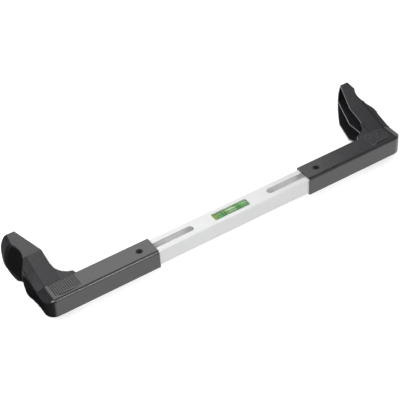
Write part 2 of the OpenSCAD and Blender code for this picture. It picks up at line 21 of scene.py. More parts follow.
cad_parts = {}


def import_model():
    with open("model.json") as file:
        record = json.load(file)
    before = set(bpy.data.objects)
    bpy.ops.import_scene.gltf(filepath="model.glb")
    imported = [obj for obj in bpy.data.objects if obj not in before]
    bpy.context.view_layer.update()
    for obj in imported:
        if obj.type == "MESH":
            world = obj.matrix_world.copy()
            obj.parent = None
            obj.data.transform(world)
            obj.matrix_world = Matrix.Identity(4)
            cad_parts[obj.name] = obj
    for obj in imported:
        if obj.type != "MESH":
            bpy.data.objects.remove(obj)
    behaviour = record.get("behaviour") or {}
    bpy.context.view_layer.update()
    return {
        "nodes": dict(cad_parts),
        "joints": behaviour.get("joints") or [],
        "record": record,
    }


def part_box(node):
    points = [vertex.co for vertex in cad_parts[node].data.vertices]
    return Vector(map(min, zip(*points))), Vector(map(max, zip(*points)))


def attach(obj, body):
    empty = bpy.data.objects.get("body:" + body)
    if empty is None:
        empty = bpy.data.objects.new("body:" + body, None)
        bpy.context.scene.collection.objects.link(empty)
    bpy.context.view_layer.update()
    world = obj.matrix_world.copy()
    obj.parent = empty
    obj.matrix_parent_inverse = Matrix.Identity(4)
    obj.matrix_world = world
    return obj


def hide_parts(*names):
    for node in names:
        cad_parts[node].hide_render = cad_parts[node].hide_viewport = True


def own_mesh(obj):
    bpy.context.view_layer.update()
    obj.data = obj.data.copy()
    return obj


frame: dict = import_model()

log = logging.getLogger("steering_wheel_level")

MM = 0.001
# Most values of a noise lie in this span.
NOISE_SPAN = (0.3, 0.7)
WHITE = (1.0, 1.0, 1.0, 1.0)
BLACK = (0.0, 0.0, 0.0, 1.0)

Colour = tuple[float, float, float]
Point = tuple[float, float, float]
# A closed outline's points, and the mesh's corners along one.
Ring = list[Vector]
Row = list[bmesh.types.BMVert]


class Side(Enum):
    """The two arms of the level, with the direction in which each one points along X."""

    LEFT = -1
    RIGHT = 1

    @property
    def prefix(self) -> str:
        """The first word of this side's node names."""
        return self.name.lower()

    @property
    def body(self) -> str:
        """The body that this side's arm belongs to."""
        return f"{self.prefix}_slide"

    @property
    def joint(self) -> str:
        """The joint that this side's arm slides on."""
        return f"{self.prefix}_arm_slide"


class Wire:
    """A number socket of a shader that takes part in arithmetic."""

    def __init__(self, graph: Graph, socket: bpy.types.NodeSocket) -> None:
        """Wraps one output socket.

        Args:
            graph: The graph that new nodes are added to.
            socket: The output socket.
        """
        self.graph = graph
        self.socket = socket

    def _math(self, operation: str, first: WireLike, second: WireLike) -> Wire:
        """Adds a Math node.

        Args:
            operation: The node's operation.
            first: The first operand.
            second: The second operand.

        Returns:
            The node's result.
        """
        return self.graph.wire("ShaderNodeMath", {"operation": operation}, {0: first, 1: second})

    def __add__(self, other: WireLike) -> Wire:
        """The sum."""
        return self._math("ADD", self, other)

    __radd__ = __add__

    def __sub__(self, other: WireLike) -> Wire:
        """The difference."""
        return self._math("SUBTRACT", self, other)

    def __rsub__(self, other: WireLike) -> Wire:
        """The reflected difference, as in 1 - mask."""
        return self._math("SUBTRACT", other, self)

    def __mul__(self, other: WireLike) -> Wire:
        """The product."""
        return self._math("MULTIPLY", self, other)

    __rmul__ = __mul__

    def __lt__(self, other: WireLike) -> Wire:
        """1 where this value is below the other, else 0."""
        return self._math("LESS_THAN", self, other)

    def __abs__(self) -> Wire:
        """The value without its sign."""
        return self._math("ABSOLUTE", self, 0.0)

    def ramp(self, low: float, high: float, to_low: float = 0.0, to_high: float = 1.0) -> Wire:
        """Maps a span of values onto another, smoothly and clamped.

        Args:
            low: The value that becomes to_low.
            high: The value that becomes to_high.
            to_low: The result at and below low.
            to_high: The result at and above high.

        Returns:
            The mapped value.
        """
        return self.graph.wire(
            "ShaderNodeMapRange",
            {"interpolation_type": "SMOOTHSTEP"},
            {"Value": self, "From Min": low, "From Max": high, "To Min": to_low, "To Max": to_high},
        )


WireLike = Wire | float
Input = Wire | bpy.types.NodeSocket | float | Sequence[float]
Sockets = dict[int | str, Input]


class Graph:
    """The nodes of one material or of the world."""

    def __init__(self, tree: bpy.types.NodeTree) -> None:
        """Empties a node tree and wraps it.

        Args:
            tree: The tree to fill.
        """
        self.tree = tree
        tree.nodes.clear()

    def node(
        self,
        kind: str,
        settings: Mapping[str, object] | None = None,
        inputs: Mapping[int | str, Input] | None = None,
    ) -> bpy.types.Node:
        """Adds any node: its settings first, then the values or links of its sockets.

        Args:
            kind: The node's type.
            settings: Its properties.
            inputs: Socket name or number, with a value or what is linked to it.

        Returns:
            The new node.
        """
        made = self.tree.nodes.new(kind)
        for name, value in (settings or {}).items():
            setattr(made, name, value)
        for key, value in (inputs or {}).items():
            source = value.socket if isinstance(value, Wire) else value
            if isinstance(source, bpy.types.NodeSocket):
                self.tree.links.new(source, made.inputs[key])
            else:
                made.inputs[key].default_value = source
        return made

    def wire(
        self,
        kind: str,
        settings: Mapping[str, object] | None = None,
        inputs: Mapping[int | str, Input] | None = None,
        output: int | str = 0,
    ) -> Wire:
        """Adds a node and wraps one of its outputs.

        Args:
            kind: The node's type.
            settings: Its properties.
            inputs: Its sockets' values or links.
            output: The output's name or number.

        Returns:
            The wrapped output.
        """
        made = self.node(kind, settings, inputs)
        return Wire(self, made.outputs[output])

    def place(self, stretch: Point = (1.0, 1.0, 1.0)) -> Wire:
        """The point on the piece, stretched along the axes.

        Args:
            stretch: Factor along X, Y and Z.

        Returns:
            The point as a vector socket.
        """
        point = self.wire("ShaderNodeTexCoord", output="Object")
        return self.wire("ShaderNodeMapping", {"vector_type": "POINT"}, {"Vector": point, "Scale": stretch})

    def split(self, vector: Wire) -> tuple[Wire, ...]:
        """Takes a vector apart.

        Args:
            vector: The vector's socket.

        Returns:
            Its X, Y and Z.
        """
        made = self.node("ShaderNodeSeparateXYZ", {}, {0: vector})
        return tuple(Wire(self, output) for output in made.outputs)

    def noise(
        self,
        size: float,
        stretch: Point = (1.0, 1.0, 1.0),
        detail: float = 2.0,
        roughness: float = 0.5,
    ) -> Wire:
        """Cloudy noise fixed to the piece.

        Args:
            size: Width of one cloud, in metres.
            stretch: Factor along X, Y and Z; above 1 the clouds get shorter.
            detail: Number of finer layers.
            roughness: Weight of the finer layers.

        Returns:
            A value about 0.5.
        """
        inputs = {
            "Vector": self.place(stretch),
            "Scale": 1.0 / size,
            "Detail": detail,
            "Roughness": roughness,
        }
        return self.wire("ShaderNodeTexNoise", {"noise_dimensions": "3D"}, inputs, "Fac")

    def cells(self, size: float) -> Wire:
        """Distance to the nearest of scattered points.

        Args:
            size: Spacing of the points, in metres.

        Returns:
            The distance as a share of the spacing.
        """
        inputs = {"Vector": self.place(), "Scale": 1.0 / size}
        return self.wire("ShaderNodeTexVoronoi", {"feature": "F1"}, inputs, "Distance")

    def mix(self, share: Input, first: Input, second: Input) -> Wire:
        """Blends two colours.

        Args:
            share: Share of the second colour.
            first: The first colour, as four numbers or a link.
            second: The second colour.

        Returns:
            The blended colour.
        """
        settings = {"data_type": "RGBA", "clamp_factor": True}
        return self.wire("ShaderNodeMix", settings, {0: share, 6: first, 7: second}, 2)

    def bump(self, height: Wire, depth: float) -> Wire:
        """Turns a height into a tilted normal.

        Args:
            height: The height, about 0 to 1.
            depth: The real height of 1, in metres.

        Returns:
            The normal.
        """
        inputs = {"Height": height, "Distance": depth, "Strength": 1.0}
        return self.wire("ShaderNodeBump", {}, inputs)


def rgba(colour: Colour, share: float = 1.0) -> tuple[float, ...]:
    """The colour times a share, no part of it above 1, with full alpha."""
    return (*(min(1.0, share * part) for part in colour), 1.0)


def new_material(name: str) -> tuple[bpy.types.Material, Graph]:
    """Makes an empty material.

    Args:
        name: The material's name.

    Returns:
        The material and its graph.
    """
    material = bpy.data.materials.new(name)
    material.use_nodes = True
    return material, Graph(material.node_tree)


@dataclass(frozen=True)
class Finish(ABC):
    """A finish; the subclasses say what varies over the surface."""

    name: str
    colour: Colour
    roughness: float

    @abstractmethod
    def sockets(self, graph: Graph) -> Sockets:
        """What the finish sets on the surface shader.

        Args:
            graph: The material's graph.

        Returns:
            Socket names with values or links.
        """

    def build(self) -> bpy.types.Material:
        """Makes the finish's material.

        Returns:
            The material.
        """
        material, graph = new_material(self.name)
        surface = graph.wire("ShaderNodeBsdfPrincipled", {}, self.sockets(graph))
        graph.node("ShaderNodeOutputMaterial", {}, {"Surface": surface})
        return material


@dataclass(frozen=True)
class Moulded(Finish):
    """Moulded plastic or rubber with a fine spark-eroded grain."""

    grain: float = 0.45 * MM
    grain_depth: float = 0.012 * MM
    pit_spacing: float = 0.72 * MM
    pit_reach: float = 0.8
    pit_share: float = 0.4
    mottle: float = 14 * MM
    mottle_share: float = 0.75
    deep: float = 0.8
    pale: float = 1.25
    sheen_spread: float = 0.05
    specular: float = 0.5

    def sockets(self, graph: Graph) -> Sockets:
        """What the finish sets on the surface shader.

        Args:
            graph: The material's graph.

        Returns:
            Socket names with values or links.
        """
        clouds = graph.noise(self.mottle, detail=4.0)
        fine = graph.noise(self.grain, detail=1.0)
        pits = graph.cells(self.pit_spacing)
        tone = clouds.ramp(*NOISE_SPAN) * self.mottle_share + fine.ramp(*NOISE_SPAN) * (1 - self.mottle_share)
        height = fine * (1 - self.pit_share) + pits.ramp(0.0, self.pit_reach) * self.pit_share
        return {
            "Base Color": graph.mix(tone, rgba(self.colour, self.deep), rgba(self.colour, self.pale)),
            "Roughness": self.roughness + (clouds - 0.5) * self.sheen_spread,
            "Specular IOR Level": self.specular,
            "Normal": graph.bump(height, self.grain_depth),
        }


@dataclass(frozen=True)
class Drawn(Finish):
    """Metal with fine lines along one direction, as extruded, drawn or turned stock has."""

    stretch: Point = (0.02, 1.0, 1.0)
    line: float = 0.35 * MM
    line_depth: float = 0.004 * MM
    line_share: float = 0.5
    cloud: float = 14 * MM
    deep: float = 0.94
    sheen_spread: float = 0.12
    metallic: float = 1.0

    def sockets(self, graph: Graph) -> Sockets:
        """What the finish sets on the surface shader.

        Args:
            graph: The material's graph.

        Returns:
            Socket names with values or links.
        """
        lines = graph.noise(self.line, stretch=self.stretch, detail=3.0, roughness=0.6)
        clouds = graph.noise(self.cloud, detail=3.0)
        tone = lines.ramp(*NOISE_SPAN) * self.line_share + clouds.ramp(*NOISE_SPAN) * (1 - self.line_share)
        return {
            "Base Color": graph.mix(tone, rgba(self.colour, self.deep), rgba(self.colour)),
            "Metallic": self.metallic,
            "Roughness": self.roughness + (lines - 0.5) * self.sheen_spread,
            "Normal": graph.bump(lines, self.line_depth),
        }


@dataclass(frozen=True)
class Extruded(Drawn):
    """Anodised aluminium tube whose bore is painted pale and not metallic, as painted light inside the slots.
    """

    # Depth from which the bore's painted light holds, a little less than the tube's wall of 1.5 mm.
    bore_start: float = 1.35 * MM
    bore_colour: Colour = (0.97, 0.97, 0.96)

    def sockets(self, graph: Graph) -> Sockets:
        """What the finish sets on the surface shader.

        Args:
            graph: The material's graph.

        Returns:
            Socket names with values or links.
        """
        low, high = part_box("bar_tube")
        middle, half = (low + high) / 2, (high - low) / 2
        _, across, up = graph.split(graph.place())
        in_width = abs(across - middle.y) < half.y - self.bore_start
        in_height = abs(up - middle.z) < half.z - self.bore_start
        # Painted light: the bore turns pale and loses its metal, standing in for light that reaches in
        # through the slots.
        inside = in_width * in_height
        outside = super().sockets(graph)
        return outside | {
            "Base Color": graph.mix(inside, outside["Base Color"], rgba(self.bore_colour)),
            "Metallic": self.metallic * (1.0 - inside),
        }


@dataclass(frozen=True)
class Clear(Finish):
    """Tinted acrylic, liquid or air, with a painted glow that stands in for the light shining through it."""

    ior: float = 1.49
    clearness: float = 1.0
    # Painted glow: light of the part's own that stands in for light shining through it.
    glow: float = 0.0
    cloud: float = 4 * MM
    pale: float = 1.06
    sheen_spread: float = 0.02

    def sockets(self, graph: Graph) -> Sockets:
        """What the finish sets on the surface shader.

        Args:
            graph: The material's graph.

        Returns:
            Socket names with values or links.
        """
        clouds = graph.noise(self.cloud)
        return {
            "Base Color": graph.mix(clouds, rgba(self.colour), rgba(self.colour, self.pale)),
            "Roughness": self.roughness + clouds * self.sheen_spread,
            "IOR": self.ior,
            "Transmission Weight": self.clearness,
            "Emission Color": rgba(self.colour),
            "Emission Strength": self.glow,
        }


@dataclass(frozen=True)
class Glowing(Clear):
    """Dyed liquid or the air above it, with a painted highlight that also glows on the slope that faces the
    back.
    """

    crest: Colour = (1.0, 1.0, 1.0)
    slope: tuple[float, float] = (0.1, 0.5)

    def sockets(self, graph: Graph) -> Sockets:
        """What the finish sets on the surface shader.

        Args:
            graph: The material's graph.

        Returns:
            Socket names with values or links.
        """
        # Painted highlight: base colour and glow turn paler where the normal faces the back.
        _, backward, _ = graph.split(graph.wire("ShaderNodeNewGeometry", output="Normal"))
        colour = graph.mix(backward.ramp(*self.slope), rgba(self.colour), rgba(self.crest))
        return super().sockets(graph) | {"Base Color": colour, "Emission Color": colour}


FINISHES: tuple[Finish, ...] = (
    Moulded("arm_plastic", (0.017, 0.0155, 0.0185), 0.28, specular=0.95),
    Moulded("pad_rubber", (0.006, 0.006, 0.006), 0.8, grain_depth=0.02 * MM, specular=0.2),
    Moulded("end_plug_plastic", (0.012, 0.012, 0.013), 0.5),
    Moulded("holder_plastic", (0.42, 0.52, 0.27), 0.45),
    Moulded("plug_plastic", (0.25, 0.31, 0.07), 0.3, specular=0.6),
    Moulded("ring_print", (0.004, 0.05, 0.01), 0.5),
    Extruded("anodised_aluminium", (0.765, 0.768, 0.771), 0.36, metallic=0.3),
    Drawn("bright_steel", (0.62, 0.63, 0.65), 0.3),
    Drawn("spring_steel", (0.5, 0.5, 0.52), 0.28, stretch=(1.0, 1.0, 1.0)),
    Drawn("black_screw", (0.014, 0.014, 0.016), 0.34, stretch=(1.0, 1.0, 1.0), metallic=0.6),
    # The vial's finishes glow as painted light, and the fluid and the air carry a painted highlight.
    Clear("vial_acrylic", (0.72, 0.88, 0.64), 0.03, clearness=0.92, glow=0.05),
    Glowing(
        "vial_fluid", (0.08, 0.35, 0.09), 0.2, ior=1.36, clearness=0.0, glow=0.22, crest=(0.26, 0.64, 0.23),
    ),
    Glowing(
        "vial_air", (0.13, 0.26, 0.08), 0.2, ior=1.1, clearness=0.0, glow=0.34,
        crest=(1.0, 1.0, 0.95), slope=(0.3, 0.55),
    ),
)


@dataclass
class Wardrobe:
    """The finishes' materials, made once and handed out by slot."""

    made: dict[str, bpy.types.Material] = field(default_factory=dict)

    def __post_init__(self) -> None:
        """Makes every finish's material."""
        for finish in FINISHES:
            self.made[finish.name] = finish.build()

    def dress(self, piece: bpy.types.Object, slot: str) -> None:
        """Gives a piece the material of a slot.

        Args:
            piece: A node or a new piece.
            slot: The record's material slot.
        """
        piece.data.materials.clear()
        piece.data.materials.append(self.made[slot])

    def dress_nodes(self) -> None:
        """Gives every node of the frame the material of its own slot."""
        for part in frame["record"]["subparts"]:
            self.dress(frame["nodes"][part["node"]], part["material_slot"])
            log.info("node %s wears %s", part["node"], part["material_slot"])


def turns(count: int) -> list[float]:
    """Angles spread evenly over one turn."""
    return [2 * math.pi * k / count for k in range(count)]


def new_piece(
    name: str,
    mesh: bmesh.types.BMesh,
    inward: Sequence[bmesh.types.BMFace] = (),
    crease: float | None = None,
) -> bpy.types.Object:
    """Turns a bmesh into a smooth-shaded object of the scene.

    Args:
        name: The piece's name.
        mesh: The mesh, which is freed.
        inward: The faces round a hollow inside it.
        crease: The angle from which an edge is sharp, if any is.

    Returns:
        The object.
    """
    bmesh.ops.recalc_face_normals(mesh, faces=[face for face in mesh.faces if face not in inward])
    if inward:
        bmesh.ops.recalc_face_normals(mesh, faces=list(inward))
        bmesh.ops.reverse_faces(mesh, faces=list(inward))
    data = bpy.data.meshes.new(name)
    mesh.to_mesh(data)
    mesh.free()
    data.shade_smooth()
    if crease is not None:
        data.set_sharp_from_angle(angle=crease)
    piece = bpy.data.objects.new(name, data)
    bpy.context.scene.collection.objects.link(piece)
    return piece


def add_rows(mesh: bmesh.types.BMesh, rings: Sequence[Ring]) -> list[Row]:
    """Adds the corners of some outlines.

    Args:
        mesh: The mesh that the corners are added to.
        rings: The outlines.

    Returns:
        The corners of each outline.
    """
    return [[mesh.verts.new(point) for point in ring] for ring in rings]


def span(mesh: bmesh.types.BMesh, rows: Sequence[Row]) -> list[bmesh.types.BMFace]:
    """Lays faces between each closed row of corners and the next.

    Args:
        mesh: The mesh that the faces are added to.
        rows: Rows with the same number of corners.

    Returns:
        The new faces.
    """
    count = len(rows[0])
    return [
        mesh.faces.new((one[k], one[(k + 1) % count], two[(k + 1) % count], two[k]))
        for one, two in zip(rows, rows[1:])
        for k in range(count)
    ]


def skin(mesh: bmesh.types.BMesh, rings: Sequence[Ring]) -> list[bmesh.types.BMFace]:
    """Lays faces over a row of outlines and closes both ends.

    Args:
        mesh: The mesh that the faces are added to.
        rings: Outlines with the same number of points.

    Returns:
        The new faces.
    """
    rows = add_rows(mesh, rings)
    return [*span(mesh, rows), mesh.faces.new(rows[0]), mesh.faces.new(rows[-1])]


def sweep(name: str, line: Sequence[Vector], radius: float, sides: int) -> bpy.types.Object:
    """Round wire along a line.

    Args:
        name: The piece's name.
        line: Points along its middle.
        radius: The wire's radius.
        sides: Number of sides of its section.

    Returns:
        The wire.
    """
    mesh = bmesh.new()
    rings = []
    across = Vector((0, 0, 1))
    for place, point in enumerate(line):
        ahead = line[min(place + 1, len(line) - 1)] - line[max(place - 1, 0)]
        ahead.normalize()
        across = (across - ahead * across.dot(ahead)).normalized()
        other = ahead.cross(across)
        rings.append([
            point + across * radius * math.cos(turn) + other * radius * math.sin(turn)
            for turn in turns(sides)
        ])
    skin(mesh, rings)
    return new_piece(name, mesh)


@dataclass
class Spring:
    """Round-wire compression spring between the bar's end plug and the arm's end wall."""

    side: Side
    # The curls count one closed turn at each end.
    curls: int = 18
    wire: float = 1.0 * MM
    closed_pitch: float = 1.7 * MM
    steps: int = 32
    sides: int = 10

    def __post_init__(self) -> None:
        """Reads the spring's place from the frame."""
        self.node = f"{self.side.prefix}_spring"
        self.low, self.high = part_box(self.node)
        self.middle = (self.low + self.high) / 2
        self.length = self.high.x - self.low.x

    def centre_line(self) -> list[Vector]:
        """Points along the middle of the wire.

        Returns:
            The points, from the bar outwards.
        """
        radius = (self.high.z - self.low.z - self.wire) / 2
        start = self.middle.x - self.side.value * (self.length - self.wire) / 2
        open_curls = self.curls - 2
        open_pitch = (self.length - self.wire - 2 * self.closed_pitch) / open_curls
        points = []
        for step in range(self.curls * self.steps + 1):
            turn = step / self.steps
            along = self.closed_pitch * min(turn, 1.0)
            along += open_pitch * min(max(turn - 1.0, 0.0), open_curls)
            along += self.closed_pitch * max(turn - 1.0 - open_curls, 0.0)
            angle = 2 * math.pi * turn
            points.append(Vector((
                start + self.side.value * along,
                self.middle.y + radius * math.cos(angle),
                self.middle.z + radius * math.sin(angle),
            )))
        return points

    def build(self, wardrobe: Wardrobe) -> bpy.types.Object:
        """Makes the spring, dresses it and lets it move with the arm.

        Args:
            wardrobe: The materials.

        Returns:
            The spring.
        """
        piece = sweep(f"{self.node}_wire", self.centre_line(), self.wire / 2, self.sides)
        wardrobe.dress(piece, "spring_steel")
        travel = next(j["range_m"][1] for j in frame["joints"] if j["name"] == self.side.joint)
        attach(piece, self.side.body)
        1 - travel / self.length
        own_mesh(piece)
        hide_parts(self.node)
        log.info("spring %s: %d curls over %.1f mm", self.node, self.curls, self.length / MM)
        return piece


@dataclass
class StopScrew:
    """Socket screw in a sleeve's top: chamfered head, hexagon socket and threaded shank."""

    side: Side
    head_height: float = 2.3 * MM
    head_chamfer: float = 0.4 * MM
    under_chamfer: float = 0.2 * MM
    shank_radius: float = 2.0 * MM
    tip_chamfer: float = 0.5 * MM
    neck: float = 0.6 * MM
    pitch: float = 0.7 * MM
    thread_depth: float = 0.3 * MM
    thread_steps: int = 8
    socket_flats: float = 3.0 * MM
    socket_depth: float = 1.6 * MM
    socket_lead: float = 0.15 * MM
    drill_radius: float = 0.3 * MM
    drill_depth: float = 0.15 * MM
    crease: float = math.radians(35)
    sides: int = 36

    def __post_init__(self) -> None:
        """Reads the screw's place from the frame."""
        self.node = f"{self.side.prefix}_stop_screw"
        self.low, self.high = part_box(self.node)
        self.middle = (self.low + self.high) / 2
        self.head_radius = (self.high.x - self.low.x) / 2

    def ring(self, height: float, reach: Callable[[float], float]) -> Ring:
        """Outline about the screw's axis.

        Args:
            height: How far it lies above the screw's tip.
            reach: The radius at each angle.

        Returns:
            The outline's points.
        """
        points = []
        for turn in turns(self.sides):
            along, across = reach(turn) * math.cos(turn), reach(turn) * math.sin(turn)
            points.append(Vector((self.middle.x + along, self.middle.y + across, self.low.z + height)))
        return points

    def round_ring(self, height: float, radius: float) -> Ring:
        """Round outline."""
        return self.ring(height, lambda _turn: radius)

    def hexagon(self, height: float, grown: float = 0.0) -> Ring:
        """Outline of the hexagon socket.

        Args:
            height: How far it lies above the screw's tip.
            grown: How far its flats stand outside the socket's.

        Returns:
            The outline's points.
        """
        flat = self.socket_flats / 2 + grown
        sixth = math.pi / 3
        return self.ring(height, lambda turn: flat / math.cos((turn % sixth) - sixth / 2))

    def thread(self, start: float, end: float) -> list[Ring]:
        """Rings of the helical thread.

        Args:
            start: Height of its lower end.
            end: Height of its upper end.

        Returns:
            The rings, from below.
        """
        count = round((end - start) / self.pitch * self.thread_steps)
        rings = []
        for step in range(count + 1):
            height = start + (end - start) * step / count

            def reach(turn: float, curl: float = height / self.pitch) -> float:
                """Radius on the thread's flanks at this height."""
                share = (curl - turn / (2 * math.pi)) % 1.0
                return self.shank_radius - self.thread_depth * abs(2 * share - 1)

            rings.append(self.ring(height, reach))
        return rings

    def build(self, wardrobe: Wardrobe) -> bpy.types.Object:
        """Makes the screw, dresses it and lets it move with the arm.

        Args:
            wardrobe: The materials.

        Returns:
            The screw.
        """
        top = self.high.z - self.low.z
        seat = top - self.head_height
        core = self.shank_radius - self.thread_depth
        floor = top - self.socket_depth
        rings = [
            self.round_ring(0.0, self.shank_radius - self.tip_chamfer),
            *self.thread(self.tip_chamfer, seat - self.neck),
            self.round_ring(seat - self.neck, core),
            self.round_ring(seat, core),
            self.round_ring(seat, self.head_radius - self.under_chamfer),
            self.round_ring(seat + self.under_chamfer, self.head_radius),
            self.round_ring(top - self.head_chamfer, self.head_radius),
            self.round_ring(top, self.head_radius - self.head_chamfer),
            self.hexagon(top, self.socket_lead),
            self.hexagon(top - self.socket_lead),
            self.hexagon(floor),
            self.round_ring(floor - self.drill_depth, self.drill_radius),
        ]
        mesh = bmesh.new()
        skin(mesh, rings)
        piece = new_piece(f"{self.node}_socket_head", mesh, crease=self.crease)
        wardrobe.dress(piece, "black_screw")
        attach(piece, self.side.body)
        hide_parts(self.node)
        log.info("screw %s: thread of %.1f mm pitch", self.node, self.pitch / MM)
        return piece


@dataclass
class Vial:
    """Clear vial that fills the window: domed body, end plug, liquid, bubble and ring lines."""

    # The crown is the stretch that stands up into the window.
    crown_rise: float = 1.25 * MM
    crown_half: float = 20.2 * MM
    crown_run: float = 0.6 * MM
    squareness: float = 4.0
    # The bore's axis lies above the body's, and its ends count from the middle.
    bore_radius: float = 4.5 * MM
    bore_lift: float = 1.2 * MM
    bore_ends: tuple[float, float] = (-16.6 * MM, 20.0 * MM)
    bore_rounding: float = 1.2 * MM
    rounding_steps: int = 6
    # How far liquid, bubble and ring lines reach into the body, and the plug's gap to it.
    overlap: float = 0.03 * MM
    ring_places: tuple[float, float] = (7.0 * MM, 10.1 * MM)
    ring_half: float = 0.3 * MM
    ring_proud: float = 0.05 * MM
    bubble_half: float = 6.3 * MM
    # Half the angle, in radians, that the bubble covers at the top of the bore.
    bubble_spread: float = 0.72
    bubble_depth: float = 2.2 * MM
    # Below 1 the bubble keeps its width nearer to its ends.
    bubble_taper: float = 0.6
    bubble_stations: int = 20
    bubble_arc: int = 16
    sides: int = 64

    def __post_init__(self) -> None:
        """Reads the vial's place from the frame."""
        self.low, self.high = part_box("vial_tube")
        self.middle = (self.low + self.high) / 2
        self.radius = (self.high.y - self.low.y) / 2
        self.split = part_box("vial_plug")[1].x

    def section(self, x: float, grown: float = 0.0) -> Ring:
        """Outline of the body across the bar: round below, a squarish dome above.

        Args:
            x: Where the outline lies along the bar.
            grown: How far it stands outside the body.

        Returns:
            The outline's points.
        """
        share = (self.crown_half + self.crown_run - abs(x - self.middle.x)) / self.crown_run
        top = self.radius + self.crown_rise * min(max(share, 0.0), 1.0) + grown
        side = self.radius + grown
        power = 2 / self.squareness
        ring = []
        for turn in turns(self.sides):
            across, up = math.cos(turn), math.sin(turn)
            if up > 0:
                across = math.copysign(abs(across) ** power, across)
                up = up ** power * top / side
            ring.append(self.middle + Vector((x - self.middle.x, side * across, side * up)))
        return ring

    def bore_ring(self, x: float, radius: float) -> Ring:
        """Round outline about the bore's axis.

        Args:
            x: Where the outline lies along the bar.
            radius: Its radius.

        Returns:
            The outline's points.
        """
        centre = self.middle + Vector((x - self.middle.x, 0, self.bore_lift))
        return [
            centre + Vector((0, radius * math.cos(turn), radius * math.sin(turn)))
            for turn in turns(self.sides)
        ]

    def bore_rings(self, grown: float) -> list[Ring]:
        """Rings of the bore, with the edges of its ends rounded.

        Args:
            grown: How far they stand outside the bore.

        Returns:
            The rings, from left to right.
        """
        low, high = (self.middle.x + end for end in self.bore_ends)
        quarter = [math.pi / 2 * k / self.rounding_steps for k in range(self.rounding_steps + 1)]
        edge = self.bore_rounding
        ends = [
            (edge * (1 - math.cos(turn)), self.bore_radius - edge * (1 - math.sin(turn)))
            for turn in quarter
        ]
        left = [self.bore_ring(low + inset - grown, radius + grown) for inset, radius in ends]
        right = [self.bore_ring(high - inset + grown, radius + grown) for inset, radius in reversed(ends)]
        return [*left, *right]

    def build_body(self) -> bpy.types.Object:
        """Makes the clear body round its bore.

        Returns:
            The body.
        """
        mesh = bmesh.new()
        edge = self.middle.x + self.crown_half
        places = [self.split, edge, edge + self.crown_run / 2, edge + self.crown_run, self.high.x]
        skin(mesh, [self.section(x) for x in places])
        hollow = skin(mesh, self.bore_rings(0.0))
        return new_piece("vial_body", mesh, hollow)

    def build_plug(self) -> bpy.types.Object:
        """Makes the coloured plug that closes the vial's left end.

        Returns:
            The plug.
        """
        mesh = bmesh.new()
        edge = self.middle.x - self.crown_half
        places = [
            self.low.x,
            edge - self.crown_run,
            edge - self.crown_run / 2,
            edge,
            self.split - self.overlap,
        ]
        skin(mesh, [self.section(x) for x in places])
        return new_piece("vial_end_plug", mesh)

    def build_liquid(self) -> bpy.types.Object:
        """Makes the liquid, which wets the bore.

        Returns:
            The liquid.
        """
        mesh = bmesh.new()
        skin(mesh, self.bore_rings(self.overlap))
        return new_piece("vial_fill", mesh)

    def build_bubble(self) -> bpy.types.Object:
        """Makes the long bubble that lies against the top of the bore.

        Returns:
            The bubble.
        """
        mesh = bmesh.new()
        radius = self.bore_radius + 2 * self.overlap
        rings = []
        for step in range(1, self.bubble_stations):
            angle = math.pi * step / self.bubble_stations
            along = -self.bubble_half * math.cos(angle)
            full = math.sin(angle) ** self.bubble_taper
            centre = self.middle + Vector((along, 0, self.bore_lift))
            spread = self.bubble_spread * full
            upper = [spread * (2 * k / self.bubble_arc - 1) for k in range(self.bubble_arc + 1)]
            ring = [centre + radius * Vector((0, math.sin(lean), math.cos(lean))) for lean in upper]
            for lean in reversed(upper[1:-1]):
                drop = self.bubble_depth * full * math.sqrt(1 - (lean / spread) ** 2)
                ring.append(centre + Vector((0, radius * math.sin(lean), radius * math.cos(lean) - drop)))
            rings.append(ring)
        skin(mesh, rings)
        return new_piece("vial_air_bubble", mesh)

    def build_rings(self) -> bpy.types.Object:
        """Makes the four printed ring lines round the body.

        Returns:
            The ring lines.
        """
        mesh = bmesh.new()
        for place in self.ring_places:
            for sign in (-1, 1):
                centre = self.middle.x + sign * place
                edges = (centre - self.ring_half, centre + self.ring_half)
                outer = [self.section(x, self.ring_proud) for x in edges]
                inner = [self.section(x, -self.overlap) for x in reversed(edges)]
                rows = add_rows(mesh, [*outer, *inner])
                span(mesh, [*rows, rows[0]])
        return new_piece("vial_ring_lines", mesh)

    def build(self, wardrobe: Wardrobe) -> None:
        """Makes and dresses every piece of the vial.

        Args:
            wardrobe: The materials.
        """
        made = (
            (self.build_body(), "vial_tube", "vial_acrylic"),
            (self.build_plug(), "vial_plug", "plug_plastic"),
            (self.build_liquid(), "vial_liquid", "vial_fluid"),
            (self.build_bubble(), "vial_bubble", "vial_air"),
            (self.build_rings(), "vial_rings", "ring_print"),
        )
        for piece, node, slot in made:
            wardrobe.dress(piece, slot)
            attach(piece, "bar")
            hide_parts(node)
            log.info("vial piece %s stands for %s", piece.name, node)


@dataclass
class Lamp:
    """A soft rectangular lamp."""

    name: str
    place: Point
    target: Point
    size: tuple[float, float]
    watts: float

    def build(self) -> bpy.types.Object:
        """Makes the lamp.

        Returns:
            The lamp's object.
        """
        data = bpy.data.lights.new(self.name, "AREA")
        data.shape = "RECTANGLE"
        data.size, data.size_y = self.size
        data.energy = self.watts
        lamp = bpy.data.objects.new(self.name, data)
        lamp.location = self.place
        lamp.rotation_euler = (Vector(self.target) - Vector(self.place)).to_track_quat("-Z", "Y").to_euler()
        bpy.context.scene.collection.objects.link(lamp)
        return lamp


